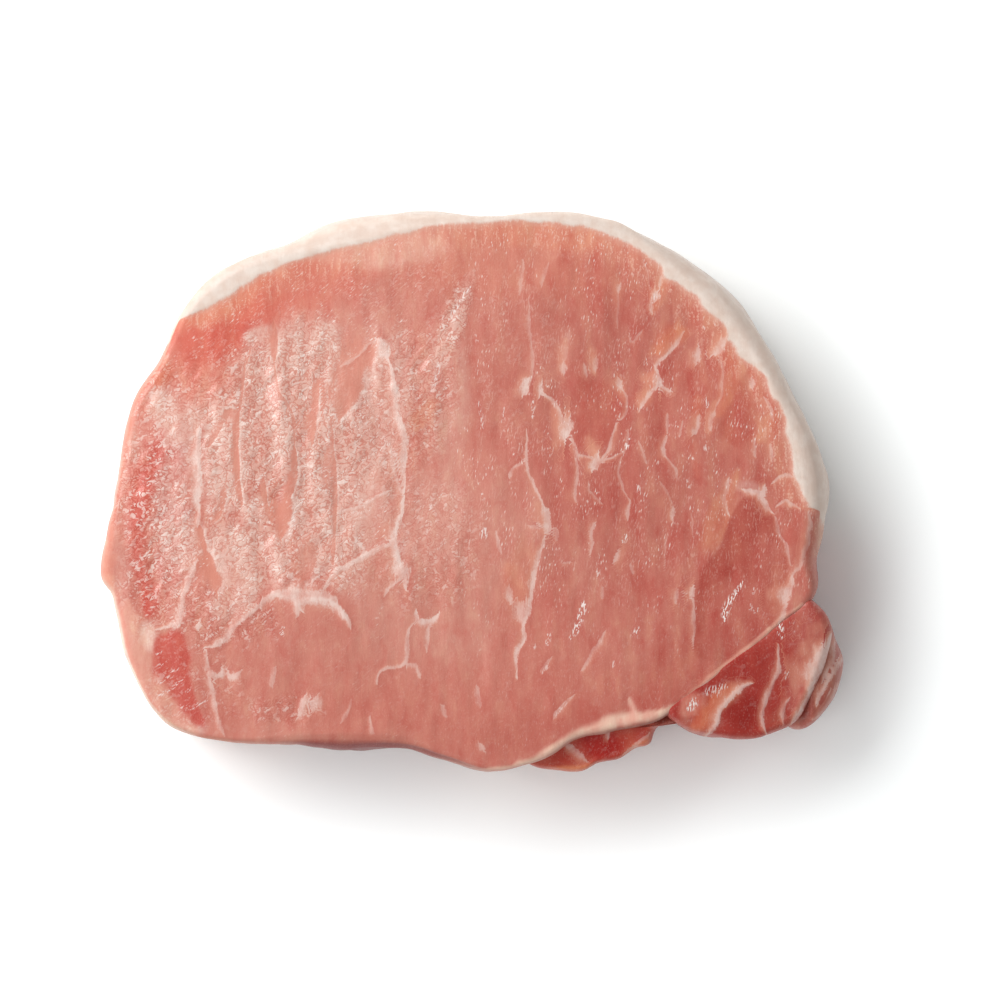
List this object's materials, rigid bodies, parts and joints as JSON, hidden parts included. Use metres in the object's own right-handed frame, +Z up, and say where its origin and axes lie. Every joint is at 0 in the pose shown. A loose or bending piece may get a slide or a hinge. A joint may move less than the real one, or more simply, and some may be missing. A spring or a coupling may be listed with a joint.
{
  "type": "raw pork chop",
  "caption": "Thick raw boneless pork loin chop: a rounded slab of pink lean meat with a pale fat cap along one side and a small darker side muscle at one corner, lying flat on a cut face.",
  "frame": {"origin": "bottom centre of the chop's bounding box, on the surface that the chop lies on", "axes": "+Z up out of the upper cut face, +X along the longer side of the cut face towards the dark side muscle, +Y towards the fat cap"},
  "size_m": [0.112, 0.0848, 0.0253],
  "materials": {
    "raw_pork": "moist"
  },
  "bodies": {
    "root": {"pork_chop": "raw_pork"}
  },
  "joints": []
}
